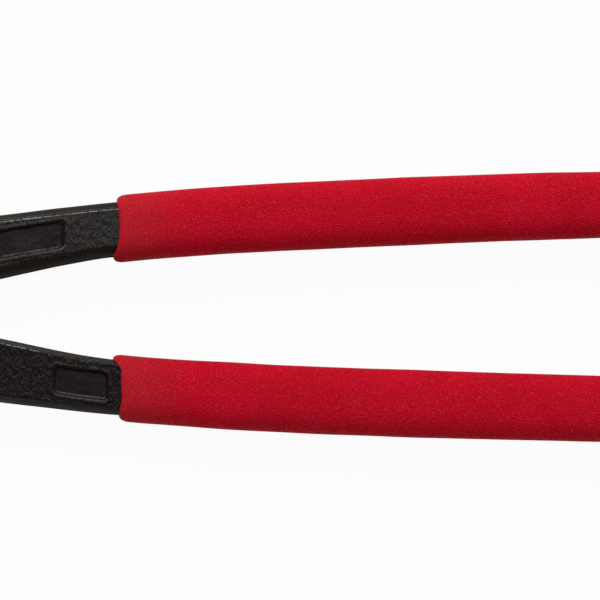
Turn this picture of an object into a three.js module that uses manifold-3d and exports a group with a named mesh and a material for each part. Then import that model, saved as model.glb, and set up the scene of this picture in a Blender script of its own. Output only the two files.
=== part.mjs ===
// Nipper pliers, 220 mm long, lying flat with the jaws closed.
// Two identical forged levers cross in a lap joint, a rivet holds them together,
// and each handle wears a dipped grip. The second lever is the first one turned over.
//
// Frame: the pivot axis is Z, the handles point along +X and the nose along -X.
// The origin is the flat end of the rivet on the underside. Sizes are in millimetres.

import * as THREE from "three";
import { mergeVertices } from "three/addons/utils/BufferGeometryUtils.js";
import Module from "manifold-3d";

const wasm = await Module();
wasm.setup();

// Overall lengths along X
const OVERALL_LENGTH = 220;
const HEAD_LENGTH = 30;
const HANDLE_LENGTH = OVERALL_LENGTH - HEAD_LENGTH;

// Lap joint: each lever has a half-thick round boss that turns on the other one
const JOINT_THICKNESS = 15;
const BOSS_RADIUS = 13.5;
const LAP_GAP = 0.3;
const SHOULDER_GAP = 0.3;
const SHOULDER_ANGLE = 62; // degrees, where the handle's outer edge runs into the boss
const SHOULDER_DROP = 1; // how far the shoulder sinks before it turns down into the boss
const SHOULDER_FULLNESS = 0.6; // share of the shoulder that runs out before it turns down
const CROTCH_ANGLE = 2; // degrees past the tool's axis where the boss starts and ends
const JAW_ANGLE = -113; // degrees, where the jaw's outer edge leaves the boss

// Pivot rivet, upset into a countersink on each side
const RIVET_RADIUS = 4.5;
const RIVET_HEAD_RADIUS = 6.6;
const RIVET_CONE_DEPTH = 1.8;
const RIVET_HEAD_PROUD = 0.8;
const RIVET_FLAT_RADIUS = 4.4;
const RIVET_FIT = 0.2;

// Handle bar. ROOT is where it leaves the boss, TAIL is its end inside the grip.
const ROOT_STEP = 0.7; // from the boss to the root, along X
const ROOT_OUTER_EDGE = 16; // from the tool's axis
const CROTCH_HALF_GAP = 0.9;
const NECK = { x: 35, offset: 12.3, width: 12.8, thickness: 10 };
const WRIST = { x: 57, offset: 15.7, width: 11, thickness: 8.4 };
const BEND = { x: 87, offset: 18, width: 11.1, thickness: 8 };
const PALM = { offset: 19.9, width: 11, thickness: 7.7 };
const PALM_PLACE = 0.48; // share of the way from the bend to the tail
const TAIL_OFFSET = 21.3;
const TAIL_WIDTH = 10.3;
const TAIL_THICKNESS = 7.4;
const TAIL_CHAMFER = 3;
const TAIL_SHRINK = 0.7; // share of the section that is left at the very end

// Forging draft: how far the side leans in between the parting line and the flat face
const OUTER_DRAFT = 2.1;
const INNER_DRAFT = 1.5;
const JAW_DRAFT = 1.8;
const PARTING_LAND = 1.2; // height of the trimmed flash line
const KNEE_INSET = 0.3; // share of the draft at the knee of the convex side
const KNEE_HEIGHT = 0.55; // share of the half thickness at the knee

// Jaws. The cutting edges run along Z at the nose and meet on the tool's axis.
const NOSE_WIDTH = 20; // length of the cutting edge
const EDGE_GAP = 0.3; // between the closed cutting edges
const NOSE_FACE = 5.2; // breadth of the ground front face of one jaw
const NOSE_FACE_ANGLE = 10; // degrees that the front face leans back
const EDGE_BEVEL = 4.6; // breadth of the bevel behind the cutting edge
const EDGE_BEVEL_ANGLE = 30; // degrees between that bevel and the tool's axis
const THROAT_REACH = 6.3; // how far the throat's curve pulls outwards
const THROAT_LEAN = 0.6; // how far the back of the throat leans to the nose
const THROAT_FULLNESS = 0.72; // share of the throat that is full depth
const JAW_BULGE = 16.2; // how far the jaw's outer curve pulls outwards
const JAW_TAPER = 1.6; // how much less it pulls towards the nose
const JAW_HEEL_FULLNESS = 0.26; // share of the jaw where the heel pulls
const JAW_TOE_FULLNESS = 0.8; // share of the jaw where the toe pulls

// Sunk panels for markings, left bare: a long one on one face and a short one on the other
const LONG_PANEL = { x: 38, length: 18.8, width: 6.2 };
const SHORT_PANEL = { x: 51.2, length: 11.1, width: 6 };
const PANEL_DEPTH = 0.6;
const PANEL_CORNER = 1.1;

// Dipped grips
const GRIP_LENGTH = 131.6;
const GRIP_COAT = 1.15;
const GRIP_FIT = 0.2; // between the coat and the bar
const GRIP_LIP_LENGTH = 1.4; // over which the front lip rounds off
const GRIP_LIP_EDGE = 0.8; // coat left at the very front
const GRIP_END_WALL = 2.5;
const GRIP_DOME_LENGTH = 8;
const GRIP_DOME_SHRINK = 0.3; // share of the section that is left at the dome's tip
const GRIP_SQUARENESS = 3.2; // exponent of the section's superellipse

// Fineness of the curves
const HANDLE_STEPS = 18;
const SHOULDER_STEPS = 4;
const BOSS_STEPS = 12;
const THROAT_STEPS = 10;
const GRIP_STEPS = 18;
const GRIP_DOME_STEPS = 5;
const GRIP_LIP_STEPS = 3;
const GRIP_SIDES = 32;
const CROWN_STEPS = 3;
const CORNER_STEPS = 3;
const ROUND_SIDES = 48;
const CUT_MARGIN = 2; // how far a cutting solid sticks out of what it cuts

const HALF_JOINT = JOINT_THICKNESS / 2;
const MID_PLANE = HALF_JOINT + RIVET_HEAD_PROUD; // height of the parting plane above the origin
const GRIP_FRONT = HANDLE_LENGTH - GRIP_LENGTH;

const ROOT = {
  x: BOSS_RADIUS + ROOT_STEP,
  offset: (ROOT_OUTER_EDGE + CROTCH_HALF_GAP) / 2,
  width: ROOT_OUTER_EDGE - CROTCH_HALF_GAP,
  thickness: JOINT_THICKNESS,
};
const TAIL = {
  x: HANDLE_LENGTH - GRIP_END_WALL,
  offset: TAIL_OFFSET,
  width: TAIL_WIDTH,
  thickness: TAIL_THICKNESS,
};

const mix = (a, b, t) => a + (b - a) * t;
const smooth = (t) => t * t * (3 - 2 * t);
const clamp01 = (t) => Math.min(1, Math.max(0, t));
const radians = THREE.MathUtils.degToRad;

PALM.x = mix(BEND.x, TAIL.x, PALM_PLACE);
const HANDLE_STATIONS = [ROOT, NECK, WRIST, BEND, PALM, TAIL];

// A smooth curve through the handle's stations: the value of one key at x, by cubic Hermite pieces.
function alongHandle(key, x) {
  const stations = HANDLE_STATIONS;
  const last = stations.length - 1;
  const slope = (i) => {
    const before = stations[Math.max(0, i - 1)];
    const after = stations[Math.min(last, i + 1)];
    return (after[key] - before[key]) / (after.x - before.x);
  };
  let i = 0;
  while (i < last - 1 && x > stations[i + 1].x) i += 1;
  const a = stations[i];
  const b = stations[i + 1];
  const span = b.x - a.x;
  const t = (x - a.x) / span;
  const bend = t * (1 - t) * span;
  return mix(a[key], b[key], smooth(t)) + bend * ((1 - t) * slope(i) - t * slope(i + 1));
}

// Half the lever's thickness at x: flat over the joint, flared to the nose, thinned along the handle.
function halfThickness(x) {
  if (x > ROOT.x) return alongHandle("thickness", x) / 2;
  const flare = clamp01((-BOSS_RADIUS - x) / (HEAD_LENGTH - BOSS_RADIUS));
  return mix(HALF_JOINT, NOSE_WIDTH / 2, smooth(flare));
}

// One section of a forging between its two edges in plan: points from the left edge's top round to the right's.
// scale shrinks the section about its centre, and grow swells it by a clearance.
function sectionRing({ left, right, leftDraft, rightDraft, scale = 1 }, grow = 0) {
  const centre = left.clone().add(right).multiplyScalar(0.5);
  const across = left.clone().sub(right).normalize();
  const halfWidth = (left.distanceTo(right) / 2) * scale + grow;
  const sideOf = (sign, draft) =>
    [
      { inset: draft, share: 1 },
      { inset: draft * KNEE_INSET, share: KNEE_HEIGHT },
      { inset: 0, share: 0 },
    ].map(({ inset, share }) => {
      const p = centre.clone().addScaledVector(across, sign * (halfWidth - inset * scale));
      const height = halfThickness(p.x) * scale + grow;
      return { p, z: share ? height * share : PARTING_LAND / 2 };
    });
  const leftSide = sideOf(1, leftDraft);
  const rightSide = sideOf(-1, rightDraft);
  const up = ({ p, z }) => new THREE.Vector3(p.x, p.y, z);
  const down = ({ p, z }) => new THREE.Vector3(p.x, p.y, -z);
  return [
    ...leftSide.map(up),
    ...[...leftSide].reverse().map(down),
    ...rightSide.map(down),
    ...[...rightSide].reverse().map(up),
  ];
}

// The handle bar's section at x.
function handleSection(x) {
  const centre = alongHandle("offset", x);
  const half = alongHandle("width", x) / 2;
  const settled = smooth(clamp01((x - ROOT.x) / (NECK.x - ROOT.x)));
  return {
    left: new THREE.Vector2(x, centre + half),
    right: new THREE.Vector2(x, centre - half),
    leftDraft: OUTER_DRAFT * settled,
    rightDraft: INNER_DRAFT * settled,
    scale: mix(1, TAIL_SHRINK, clamp01((x - TAIL.x + TAIL_CHAMFER) / TAIL_CHAMFER)),
  };
}

const pointAt = (degrees, radius) =>
  new THREE.Vector2(Math.cos(radians(degrees)), Math.sin(radians(degrees))).multiplyScalar(radius);

// The two edges of the lever ahead of the handle, as pairs of points from the root to the cutting edge.
function headSections() {
  const handleEnd = handleSection(ROOT.x);
  const arc = (from, to, t) => pointAt(mix(from, to, t), BOSS_RADIUS);

  // Handle root into the boss
  const bossStart = pointAt(SHOULDER_ANGLE, BOSS_RADIUS);
  const shoulder = new THREE.QuadraticBezierCurve(
    handleEnd.left,
    new THREE.Vector2(mix(ROOT.x, bossStart.x, SHOULDER_FULLNESS), ROOT_OUTER_EDGE - SHOULDER_DROP),
    bossStart,
  );
  const crotch = new THREE.LineCurve(handleEnd.right, pointAt(-CROTCH_ANGLE, BOSS_RADIUS));

  // Throat: back corner, curve, and the bevel up to the cutting edge
  const throatBack = new THREE.Vector2(-ROOT.x, -CROTCH_HALF_GAP);
  const edge = new THREE.Vector2(-HEAD_LENGTH, -EDGE_GAP / 2);
  const bevel = radians(EDGE_BEVEL_ANGLE);
  const bevelStart = edge
    .clone()
    .add(new THREE.Vector2(Math.cos(bevel), -Math.sin(bevel)).multiplyScalar(EDGE_BEVEL));
  const throat = new THREE.CubicBezierCurve(
    throatBack,
    new THREE.Vector2(throatBack.x - THROAT_LEAN, -THROAT_REACH),
    new THREE.Vector2(mix(throatBack.x, bevelStart.x, THROAT_FULLNESS), -THROAT_REACH),
    bevelStart,
  );

  // Outer curve of the jaw, down to the outer edge of the front face
  const lean = radians(NOSE_FACE_ANGLE);
  const noseCorner = edge
    .clone()
    .add(new THREE.Vector2(Math.sin(lean), -Math.cos(lean)).multiplyScalar(NOSE_FACE));
  const jawStart = pointAt(JAW_ANGLE, BOSS_RADIUS);
  const outer = new THREE.CubicBezierCurve(
    jawStart,
    new THREE.Vector2(mix(jawStart.x, noseCorner.x, JAW_HEEL_FULLNESS), -JAW_BULGE),
    new THREE.Vector2(mix(jawStart.x, noseCorner.x, JAW_TOE_FULLNESS), JAW_TAPER - JAW_BULGE),
    noseCorner,
  );

  const plain = (left, right, rightDraft = 0) => ({ left, right, leftDraft: 0, rightDraft });
  const sections = [];
  for (let i = 1; i <= SHOULDER_STEPS; i += 1) {
    const t = i / SHOULDER_STEPS;
    sections.push(plain(shoulder.getPoint(t), crotch.getPoint(t)));
  }
  for (let i = 1; i <= BOSS_STEPS; i += 1) {
    const t = i / BOSS_STEPS;
    sections.push(
      plain(arc(SHOULDER_ANGLE, 180 - CROTCH_ANGLE, t), arc(-CROTCH_ANGLE, JAW_ANGLE, t)),
    );
  }
  const throatPoints = [...throat.getPoints(THROAT_STEPS), edge];
  throatPoints.forEach((left, i) => {
    const t = (i + 1) / throatPoints.length;
    sections.push(plain(left, outer.getPoint(t), JAW_DRAFT * smooth(Math.min(1, 2 * t))));
  });
  return sections;
}

// A closed skin over rings of equal count, with a fan on each end.
function loft(rings) {
  const count = rings[0].length;
  const average = (ring) =>
    ring.reduce((sum, p) => sum.add(p), new THREE.Vector3()).divideScalar(count);
  const points = [...rings.flat(), average(rings[0]), average(rings[rings.length - 1])];
  const lastRing = (rings.length - 1) * count;
  const frontHub = rings.length * count;
  const index = [];
  for (let j = 0; j < count; j += 1) {
    const next = (j + 1) % count;
    for (let start = 0; start < lastRing; start += count) {
      index.push(start + j, start + next, start + count + j);
      index.push(start + next, start + count + next, start + count + j);
    }
    index.push(frontHub, next, j);
    index.push(frontHub + 1, lastRing + j, lastRing + next);
  }
  return new THREE.BufferGeometry().setFromPoints(points).setIndex(index);
}

// A three.js geometry as a solid for cutting and joining.
function toSolid(geometry) {
  const bare = geometry.clone();
  bare.deleteAttribute("normal");
  bare.deleteAttribute("uv");
  const merged = mergeVertices(bare, 1e-4);
  return new wasm.Manifold(
    new wasm.Mesh({
      numProp: 3,
      vertProperties: new Float32Array(merged.attributes.position.array),
      triVerts: new Uint32Array(merged.index.array),
    }),
  );
}

function toGeometry(solid) {
  const { vertProperties, triVerts } = solid.getMesh();
  const geometry = new THREE.BufferGeometry();
  geometry.setAttribute("position", new THREE.BufferAttribute(vertProperties, 3));
  geometry.setIndex(new THREE.BufferAttribute(triVerts, 1));
  geometry.computeVertexNormals();
  return geometry;
}

// A turned piece about Z from [radius, height] pairs that start and end on the axis.
function turned(profile) {
  const points = profile.map(([radius, height]) => new THREE.Vector2(radius, height));
  return new THREE.LatheGeometry(points, ROUND_SIDES).rotateX(Math.PI / 2);
}

// A cutter for one sunk panel, on the top face or, turned over, on the bottom one.
function panelCutter({ x, length, width }, face) {
  const [w, h, r] = [length / 2, width / 2, PANEL_CORNER];
  const outline = new THREE.Shape()
    .absarc(w - r, h - r, r, 0, Math.PI / 2)
    .absarc(r - w, h - r, r, Math.PI / 2, Math.PI)
    .absarc(r - w, r - h, r, Math.PI, 1.5 * Math.PI)
    .absarc(w - r, r - h, r, 1.5 * Math.PI, 2 * Math.PI);
  const block = new THREE.ExtrudeGeometry(outline, {
    depth: PANEL_DEPTH + CUT_MARGIN,
    bevelEnabled: false,
    curveSegments: CORNER_STEPS,
  });
  const reach = length / 2;
  const rise = (f) => (f(x + reach) - f(x - reach)) / length;
  const heading = Math.atan(rise((at) => alongHandle("offset", at)));
  const tilt = Math.atan(rise(halfThickness));
  const faceCentre = alongHandle("offset", x) + (INNER_DRAFT - OUTER_DRAFT) / 2;
  return block
    .translate(0, 0, -PANEL_DEPTH)
    .rotateX(face > 0 ? 0 : Math.PI)
    .rotateY(-tilt * face)
    .rotateZ(heading)
    .translate(x, faceCentre, halfThickness(x) * face);
}

// One forged lever: handle bar, half-lap boss and jaw in one piece.
function leverGeometry() {
  const stations = [TAIL.x];
  for (let i = 0; i <= HANDLE_STEPS; i += 1)
    stations.push(mix(TAIL.x - TAIL_CHAMFER, ROOT.x, i / HANDLE_STEPS));
  const sections = [...stations.map(handleSection), ...headSections()];
  const blank = toSolid(loft(sections.map((section) => sectionRing(section))));

  const seatRadius = BOSS_RADIUS + SHOULDER_GAP;
  const below = -(NOSE_WIDTH + CUT_MARGIN);
  const mateSeat = turned([
    [0, below],
    [seatRadius, below],
    [seatRadius, LAP_GAP / 2],
    [0, LAP_GAP / 2],
  ]);
  const bore = RIVET_RADIUS + RIVET_FIT;
  const countersink = RIVET_HEAD_RADIUS + RIVET_FIT;
  const rivetHole = turned([
    [0, -CUT_MARGIN],
    [bore, -CUT_MARGIN],
    [bore, HALF_JOINT - RIVET_CONE_DEPTH],
    [countersink, HALF_JOINT],
    [countersink, HALF_JOINT + CUT_MARGIN],
    [0, HALF_JOINT + CUT_MARGIN],
  ]);
  const cutters = [mateSeat, rivetHole, panelCutter(LONG_PANEL, 1), panelCutter(SHORT_PANEL, -1)];
  return toGeometry(cutters.reduce((solid, cutter) => solid.subtract(toSolid(cutter)), blank));
}

// The rivet: a shank, a cone into each countersink and a low crowned head with a flat end.
function rivetGeometry() {
  const upper = [[RIVET_RADIUS, HALF_JOINT - RIVET_CONE_DEPTH]];
  for (let i = 0; i <= CROWN_STEPS; i += 1) {
    const angle = (Math.PI / 2) * (i / CROWN_STEPS);
    upper.push([
      mix(RIVET_FLAT_RADIUS, RIVET_HEAD_RADIUS, Math.cos(angle)),
      HALF_JOINT + RIVET_HEAD_PROUD * Math.sin(angle),
    ]);
  }
  upper.push([0, HALF_JOINT + RIVET_HEAD_PROUD]);
  const lower = upper.map(([radius, height]) => [radius, -height]).reverse();
  return turned([...lower, ...upper]);
}

// A dipped grip: a rounded skin round the handle bar, with a rolled lip in front and a domed end.
function gripGeometry() {
  const domeStart = HANDLE_LENGTH - GRIP_DOME_LENGTH;
  const domeReach = GRIP_DOME_LENGTH / Math.sqrt(1 - GRIP_DOME_SHRINK ** 2);
  const skin = (x, coat) => {
    const barX = Math.min(x, TAIL.x - TAIL_CHAMFER);
    const dome = clamp01((x - domeStart) / domeReach);
    const shrink = Math.sqrt(1 - dome * dome);
    const halfWidth = (alongHandle("width", barX) / 2 + coat) * shrink;
    const halfHeight = (halfThickness(barX) + coat) * shrink;
    const squared = (c) => Math.sign(c) * Math.abs(c) ** (2 / GRIP_SQUARENESS);
    return Array.from({ length: GRIP_SIDES }, (_, i) => {
      const angle = (-2 * Math.PI * i) / GRIP_SIDES;
      return new THREE.Vector3(
        x,
        alongHandle("offset", x) + halfWidth * squared(Math.cos(angle)),
        halfHeight * squared(Math.sin(angle)),
      );
    });
  };
  const rings = [];
  for (let i = 0; i < GRIP_DOME_STEPS; i += 1) {
    const t = Math.cos((Math.PI / 2) * (i / GRIP_DOME_STEPS));
    rings.push(skin(mix(domeStart, HANDLE_LENGTH, t), GRIP_COAT));
  }
  const bodyFront = GRIP_FRONT + GRIP_LIP_LENGTH;
  for (let i = 0; i <= GRIP_STEPS; i += 1)
    rings.push(skin(mix(domeStart, bodyFront, i / GRIP_STEPS), GRIP_COAT));
  for (let i = 1; i <= GRIP_LIP_STEPS; i += 1) {
    const t = Math.sin((Math.PI / 2) * (i / GRIP_LIP_STEPS));
    const rolled = Math.sqrt(Math.max(0, 1 - t * t));
    rings.push(skin(mix(bodyFront, GRIP_FRONT, t), mix(GRIP_LIP_EDGE, GRIP_COAT, rolled)));
  }

  // The room for the bar: its own section grown by the fit
  const bore = [sectionRing(handleSection(TAIL.x), GRIP_FIT)];
  bore[0].forEach((p) => p.setX(TAIL.x + GRIP_FIT));
  for (let i = 0; i <= GRIP_STEPS; i += 1)
    bore.push(
      sectionRing(
        handleSection(mix(TAIL.x - TAIL_CHAMFER, GRIP_FRONT - CUT_MARGIN, i / GRIP_STEPS)),
        GRIP_FIT,
      ),
    );
  return toGeometry(toSolid(loft(rings)).subtract(toSolid(loft(bore))));
}

const BLACK_LACQUER = { color: 0x1b1918, roughness: 0.45, metalness: 0.35 };
const DARK_STEEL = { color: 0x2b2927, roughness: 0.4, metalness: 0.8 };
const RED_DIP = { color: 0xb8142a, roughness: 0.85, metalness: 0 };

const tool = new THREE.Group();
tool.position.z = MID_PLANE;

function addPiece(parent, name, geometry, finish) {
  const mesh = new THREE.Mesh(geometry, new THREE.MeshStandardMaterial(finish));
  mesh.name = name;
  parent.add(mesh);
}

// The right half lies as forged, and the left half is the same forging turned over about X.
const lever = leverGeometry();
const grip = gripGeometry();
for (const [side, turn] of [
  ["right", 0],
  ["left", Math.PI],
]) {
  const half = new THREE.Group();
  half.rotation.x = turn;
  addPiece(half, `${side}_lever`, lever, BLACK_LACQUER);
  addPiece(half, `${side}_grip`, grip, RED_DIP);
  tool.add(half);
}
addPiece(tool, "pivot_rivet", rivetGeometry(), DARK_STEEL);

const nipperPliers = new THREE.Group();
nipperPliers.add(tool);
export default nipperPliers;
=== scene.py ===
# %% [markdown]
# # Nipper pliers on a white table
#
# The tool is two black forgings that cross at a rivet, with a red dipped grip on each handle. The packed
# model already has the right sizes and the pivot. This lesson makes the finer skin of each piece around it:
# the drafted sides and sunk panels of the forgings, the hammered rivet and the soft lip of the dip. Every
# piece is worked out with numpy as rings of points carried along a path, in millimetres, and is put into
# the mesh in metres.

import math

import bpy
import numpy as np
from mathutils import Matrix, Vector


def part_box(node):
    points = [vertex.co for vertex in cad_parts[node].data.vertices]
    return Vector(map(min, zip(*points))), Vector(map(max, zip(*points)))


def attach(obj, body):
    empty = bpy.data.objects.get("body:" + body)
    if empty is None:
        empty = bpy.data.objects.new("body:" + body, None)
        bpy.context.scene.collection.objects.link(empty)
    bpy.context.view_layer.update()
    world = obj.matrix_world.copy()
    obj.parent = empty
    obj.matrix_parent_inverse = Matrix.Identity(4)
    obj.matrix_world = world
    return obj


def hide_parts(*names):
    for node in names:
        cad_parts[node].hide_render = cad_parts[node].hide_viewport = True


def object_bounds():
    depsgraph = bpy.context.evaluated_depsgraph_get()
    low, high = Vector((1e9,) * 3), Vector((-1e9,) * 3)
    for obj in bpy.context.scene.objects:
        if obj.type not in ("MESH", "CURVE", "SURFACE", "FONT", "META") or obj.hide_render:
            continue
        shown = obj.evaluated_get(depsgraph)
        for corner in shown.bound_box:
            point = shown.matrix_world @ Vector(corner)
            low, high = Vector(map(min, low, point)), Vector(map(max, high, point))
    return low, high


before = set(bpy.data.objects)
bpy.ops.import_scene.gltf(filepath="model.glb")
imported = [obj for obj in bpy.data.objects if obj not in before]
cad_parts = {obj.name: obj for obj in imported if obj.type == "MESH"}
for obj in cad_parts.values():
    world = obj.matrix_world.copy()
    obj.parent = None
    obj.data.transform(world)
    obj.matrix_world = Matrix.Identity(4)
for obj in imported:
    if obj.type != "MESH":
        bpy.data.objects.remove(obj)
cad_low, cad_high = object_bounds()
MM = 0.001


def box_mm(node):
    """The lowest and highest corner of one node, in millimetres."""
    low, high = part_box(node)
    return np.array(low) / MM, np.array(high) / MM


lever_low, lever_high = box_mm("right_lever")
rivet_low, rivet_high = box_mm("pivot_rivet")
grip_low, grip_high = box_mm("right_grip")
MID_PLANE = (rivet_low[2] + rivet_high[2]) / 2
NOSE_X = lever_low[0]
TAIL_X = lever_high[0]
NOSE_WIDTH = lever_high[2] - lever_low[2]
GRIP_FRONT = grip_low[0]
GRIP_END = grip_high[0]
print(f"nose {NOSE_X:.1f}, grip front {GRIP_FRONT:.1f}, tail {TAIL_X:.1f}, end {GRIP_END:.1f} mm")

# %% [markdown]
# ## Blending and noise
#
# One helper blends values smoothly. Another is a repeatable noise: random numbers on the corners of a grid
# of cubes, blended inside each cube, which gives the slow waves of hand-finished metal. The seed fixes the
# random numbers, so every run makes the same tool.

# %% Smooth blends and waves
LATTICE = 32


def smooth(t):
    """An S-curve from 0 to 1, flat at both ends: t * t * (3 - 2 * t)."""
    t = np.clip(t, 0.0, 1.0)
    return t * t * (3 - 2 * t)


def mix(a, b, t):
    """a at t = 0, b at t = 1, and a straight line between."""
    return a + (b - a) * t


def wavy(points, cell, seed):
    """Noise from -1 to 1 at points (..., 3): lattice numbers every `cell` mm, blended by S-curves."""
    table = np.random.default_rng(seed).uniform(-1, 1, (LATTICE,) * 3)
    scaled = points / cell
    corner = np.floor(scaled).astype(int)
    near = smooth(scaled - corner)
    total = np.zeros(points.shape[:-1])
    for step in np.ndindex(2, 2, 2):
        index = (corner + step) % LATTICE
        weight = np.prod(np.where(np.array(step) == 1, near, 1 - near), axis=-1)
        total += weight * table[index[..., 0], index[..., 1], index[..., 2]]
    return total


def uneven(points, kind, seed):
    """One kind of unevenness: its height times the noise of its cell size, with a seed of its own."""
    return kind["height"] * wavy(points, kind["cell"], seed + kind["seed"])


print(f"noise repeats after {LATTICE} cells")

# %% [markdown]
# ## From rings to a mesh
#
# A forged bar, a turned rivet and a dipped coat are all long shapes, so one helper skins rings of points
# along a path into a closed mesh. Two more keep a number on each point for the materials, and shade the
# piece.

# %% Skinning, painting and shading
def show(name, data):
    """A new object for a mesh, a lamp or a camera, linked to the scene."""
    made = bpy.data.objects.new(name, data)
    bpy.context.scene.collection.objects.link(made)
    return made


def ring_quads(grid):
    """Quads between neighbouring rings of point numbers (count, around), closed round each ring."""
    near, far = grid[:-1], grid[1:]
    return np.stack([near, np.roll(near, -1, 1), np.roll(far, -1, 1), far], -1).reshape(-1, 4).tolist()


def skin(name, rings, place):
    """A closed mesh over rings (count, around, 3): quads between rings, and a flat face on each end.

    Rings run clockwise as seen along the path, so that the quads face outwards.
    `place` moves the points, in millimetres, to where the piece lies."""
    grid = np.arange(rings[..., 0].size).reshape(rings.shape[:2])
    ends = [grid[0, ::-1].tolist(), grid[-1].tolist()]
    mesh = bpy.data.meshes.new(name)
    mesh.from_pydata(place(rings.reshape(-1, 3)) * MM, [], ring_quads(grid) + ends)
    return show(name, mesh)


def paint(piece, name, values, domain="POINT"):
    """Keeps one number for each point or face of a piece, for its material to read."""
    layer = piece.data.attributes.new(name, "FLOAT", domain)
    layer.data.foreach_set("value", np.asarray(values, np.float32).ravel())


def soften(piece, angle):
    """Smooth shading, with edges sharper than `angle` degrees kept crisp."""
    piece.data.shade_smooth()
    piece.data.set_sharp_from_angle(angle=math.radians(angle))


print("rings can be skinned, painted and shaded")

# %% [markdown]
# ## Two halves from one drawing
#
# Both levers come out of the same die. So everything is drawn once, as the right half with its parting
# plane at height 0, and turned over for the left half. Each half has its own seed for its unevenness.

# %% Places of the two halves
def right_side(points):
    """The right half lies as it is made, with its parting plane at the tool's middle height."""
    return points + (0, 0, MID_PLANE)


def left_side(points):
    """The left half is the right one turned over about the long axis."""
    return points * (1, -1, -1) + (0, 0, MID_PLANE)


PLACES = {"right": right_side, "left": left_side}
SEEDS = {"right": 11, "left": 47}
print("places for the halves:", ", ".join(PLACES))

# %% [markdown]
# ## The line of the handle
#
# Each handle leaves the joint close to its twin, swings out at the neck and then bows gently to the tail. A
# few stations along X give the distance of the bar's centre from the tool's axis, its width and its
# thickness. A cubic Hermite curve runs smoothly through them.

# %% Handle stations and thickness
JOINT_THICKNESS = 15.0
BOSS_RADIUS = 13.5
ROOT_X = 14.2
ROOT_OUTER_EDGE = 16.0
CROTCH_HALF_GAP = 0.9
NECK_X = 35.0
WRIST_X = 57.0
BEND_X = 87.0
PALM_PLACE = 0.48
STATION_X = np.array([ROOT_X, NECK_X, WRIST_X, BEND_X, mix(BEND_X, TAIL_X, PALM_PLACE), TAIL_X])
OFFSET = np.array([(ROOT_OUTER_EDGE + CROTCH_HALF_GAP) / 2, 12.3, 15.7, 18.0, 19.9, 21.3])
WIDTH = np.array([ROOT_OUTER_EDGE - CROTCH_HALF_GAP, 12.8, 11.0, 11.1, 11.0, 10.3])
THICKNESS = np.array([JOINT_THICKNESS, 10.0, 8.4, 8.0, 7.7, 7.4])


def along_handle(values, x):
    """Cubic Hermite pieces through the stations, each slope that of the line between its neighbours."""
    last = len(STATION_X) - 1
    before = np.maximum(np.arange(last + 1) - 1, 0)
    after = np.minimum(np.arange(last + 1) + 1, last)
    slope = (values[after] - values[before]) / (STATION_X[after] - STATION_X[before])
    i = np.clip(np.searchsorted(STATION_X, x, side="left") - 1, 0, last - 1)
    span = STATION_X[i + 1] - STATION_X[i]
    t = np.clip((x - STATION_X[i]) / span, 0, 1)
    bend = t * (1 - t) * span
    straight = values[i] + (values[i + 1] - values[i]) * t * t * (3 - 2 * t)
    return straight + bend * ((1 - t) * slope[i] - t * slope[i + 1])


def half_thickness(x):
    """Half the forging's thickness: level over the joint, flared to the nose, thinner along the handle."""
    flare = smooth((-BOSS_RADIUS - x) / (-NOSE_X - BOSS_RADIUS))
    head = mix(JOINT_THICKNESS / 2, NOSE_WIDTH / 2, flare)
    return np.where(x > ROOT_X, along_handle(THICKNESS, np.maximum(x, ROOT_X)) / 2, head)


for x in (0.0, NECK_X, GRIP_FRONT):
    print(f"at x {x:.0f} mm the forging is {2 * half_thickness(np.array(x)):.1f} mm thick")

# %% [markdown]
# ## Curves for the plan
#
# Seen from above, a forging's outline is soft curves, drawn freely by the die maker, and a round boss about
# the pivot. Bezier curves give the first and a circle the second.

# %% Bezier curves, boss and bar edges
def bezier(points, t):
    """A Bezier curve through its first and last point, by repeated blending of neighbours."""
    layers = [np.asarray(p, float)[None, :] for p in points]
    t = np.asarray(t)[:, None]
    while len(layers) > 1:
        layers = [mix(a, b, t) for a, b in zip(layers, layers[1:])]
    return layers[0]


def on_boss(degrees):
    """Points on the boss's rim: its radius times the cosine and sine of the angle."""
    angle = np.radians(np.atleast_1d(degrees))
    return BOSS_RADIUS * np.stack([np.cos(angle), np.sin(angle)], -1)


def handle_edges(x):
    """The bar's two edges at x, half a width to each side of its centre, as left and right points."""
    centre = along_handle(OFFSET, x)
    half = along_handle(WIDTH, x) / 2
    return np.stack([x, centre + half], -1), np.stack([x, centre - half], -1)


print(f"boss {2 * BOSS_RADIUS:.0f} mm across")

# %% [markdown]
# ## Handle and joint in pairs of points
#
# The left edge runs along the outside of the handle, over the shoulder and round the boss. The right one
# runs along the inside, through the crotch and round the boss the other way. Points are taken in pairs, one
# from each edge, and a section of the forging will span each pair.

# %% Pairs along the handle and round the joint
TAIL_CHAMFER = 3.0
FINE_STEP = 0.22
HIDDEN_STEP = 3.0
HIDDEN_DEPTH = 3.5
SHOULDER_ANGLE = 62.0
SHOULDER_DROP = 1.0
SHOULDER_FULLNESS = 0.6
SHOULDER_STEPS = 24
CROTCH_ANGLE = 2.0
JAW_ANGLE = -113.0
BOSS_STEPS = 64


def handle_places():
    """X of each pair from the tail to the root: even steps, long in the grip and fine in front of it."""
    hidden = np.arange(TAIL_X - TAIL_CHAMFER, GRIP_FRONT + HIDDEN_DEPTH, -HIDDEN_STEP)
    shown = np.arange(GRIP_FRONT + HIDDEN_DEPTH, ROOT_X, -FINE_STEP)
    return np.concatenate([[TAIL_X], hidden, shown, [ROOT_X]])


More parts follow.
